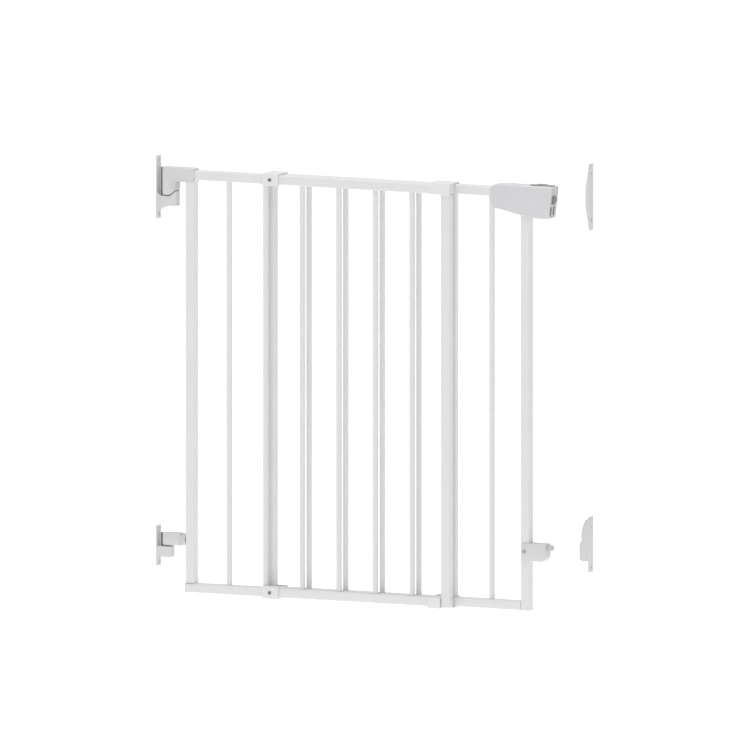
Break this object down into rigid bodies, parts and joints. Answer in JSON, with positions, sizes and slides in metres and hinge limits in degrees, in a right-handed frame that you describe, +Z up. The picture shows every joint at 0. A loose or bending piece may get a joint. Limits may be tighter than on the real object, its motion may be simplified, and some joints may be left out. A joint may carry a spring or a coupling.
{
  "type": "hardware mounted safety gate",
  "caption": "Barred metal stair gate of two panels that slide to adjust its width, on a lift-off wall hinge, with a handle latch and wall catches.",
  "frame": {"origin": "centre of the back face of the lower hinge bracket's wall plate", "axes": "+X along the closed gate from the hinge wall to the catch wall, +Y away from a person in front of the gate, +Z up"},
  "size_m": [0.8548, 0.0493, 0.8154],
  "materials": {
    "white_coat": "satin powder coat",
    "white_plug": "fine moulded",
    "pale_plastic": "fine moulded texture",
    "dark_plastic": "fine moulded texture",
    "zinc_steel": "zinc plated"
  },
  "bodies": {
    "wall_hardware": {"upper_hinge_bracket": "pale_plastic", "lower_hinge_bracket": "pale_plastic", "upper_catch": "pale_plastic", "lower_catch": "pale_plastic", "upper_hinge_screw_bottom": "zinc_steel", "upper_hinge_screw_top": "zinc_steel", "lower_hinge_screw_bottom": "zinc_steel", "lower_hinge_screw_top": "zinc_steel", "upper_catch_screw_bottom": "zinc_steel", "upper_catch_screw_top": "zinc_steel", "lower_catch_screw_bottom": "zinc_steel", "lower_catch_screw_top": "zinc_steel"},
    "hinge_pins": {"upper_hinge_pin": "zinc_steel", "lower_hinge_pin": "zinc_steel"},
    "front_panel": {"front_top_rail": "white_coat", "front_bottom_rail": "white_coat", "hinge_post": "white_coat", "front_inner_post": "white_coat", "front_bar_1": "white_coat", "front_bar_2": "white_coat", "front_bar_3": "white_coat", "front_bar_4": "white_coat", "front_bar_5": "white_coat", "front_bar_6": "white_coat", "upper_guide_sleeve": "white_coat", "lower_guide_sleeve": "white_coat", "upper_hinge_arm": "pale_plastic", "lower_hinge_arm": "pale_plastic", "upper_hinge_bush": "dark_plastic", "lower_hinge_bush": "dark_plastic", "adjuster_stud": "zinc_steel", "front_bottom_plug": "white_plug"},
    "adjuster": {"adjuster_wheel": "pale_plastic"},
    "rear_panel": {"rear_top_rail": "white_coat", "rear_bottom_rail": "white_coat", "rear_inner_post": "white_coat", "latch_post": "white_coat", "rear_bar_1": "white_coat", "rear_bar_2": "white_coat", "rear_bar_3": "white_coat", "rear_bar_4": "white_coat", "rear_bar_5": "white_coat", "rear_bar_6": "white_coat", "upper_clamp": "white_coat", "lower_clamp": "white_coat", "rear_top_plug": "white_plug", "rear_bottom_plug": "white_plug", "upper_clamp_screw": "zinc_steel", "lower_clamp_screw": "zinc_steel", "handle_front_shell": "pale_plastic", "handle_rear_shell": "pale_plastic", "handle_screw_1": "zinc_steel", "handle_screw_2": "zinc_steel", "handle_end_insert": "dark_plastic", "latch_spring": "zinc_steel", "lower_latch_block": "pale_plastic", "lower_latch_peg": "dark_plastic", "lower_latch_screw": "zinc_steel"},
    "latch": {"latch_bolt": "dark_plastic", "thumb_slider": "dark_plastic"}
  },
  "joints": [
    {"name": "gate_lift", "type": "slide", "parent": "wall_hardware", "child": "hinge_pins", "axis": [0, 0, 1], "range_m": [0, 0.015]},
    {"name": "gate_swing", "type": "hinge", "parent": "hinge_pins", "child": "front_panel", "pos_m": [0.0185, 0, 0], "axis": [0, 0, 1], "range_deg": [-90, 85]},
    {"name": "adjuster_spin", "type": "hinge", "parent": "front_panel", "child": "adjuster", "pos_m": [0.0534, 0, 0.01325], "axis": [1, 0, 0], "continuous": true},
    {"name": "panel_extension", "type": "slide", "parent": "front_panel", "child": "rear_panel", "axis": [1, 0, 0], "range_m": [-0.055, 0.06]},
    {"name": "latch_slide", "type": "slide", "parent": "rear_panel", "child": "latch", "axis": [-1, 0, 0], "range_m": [0, 0.01], "stiffness_N_per_m": 300, "springref_m": -0.006, "deforming": ["latch_spring"]}
  ]
}
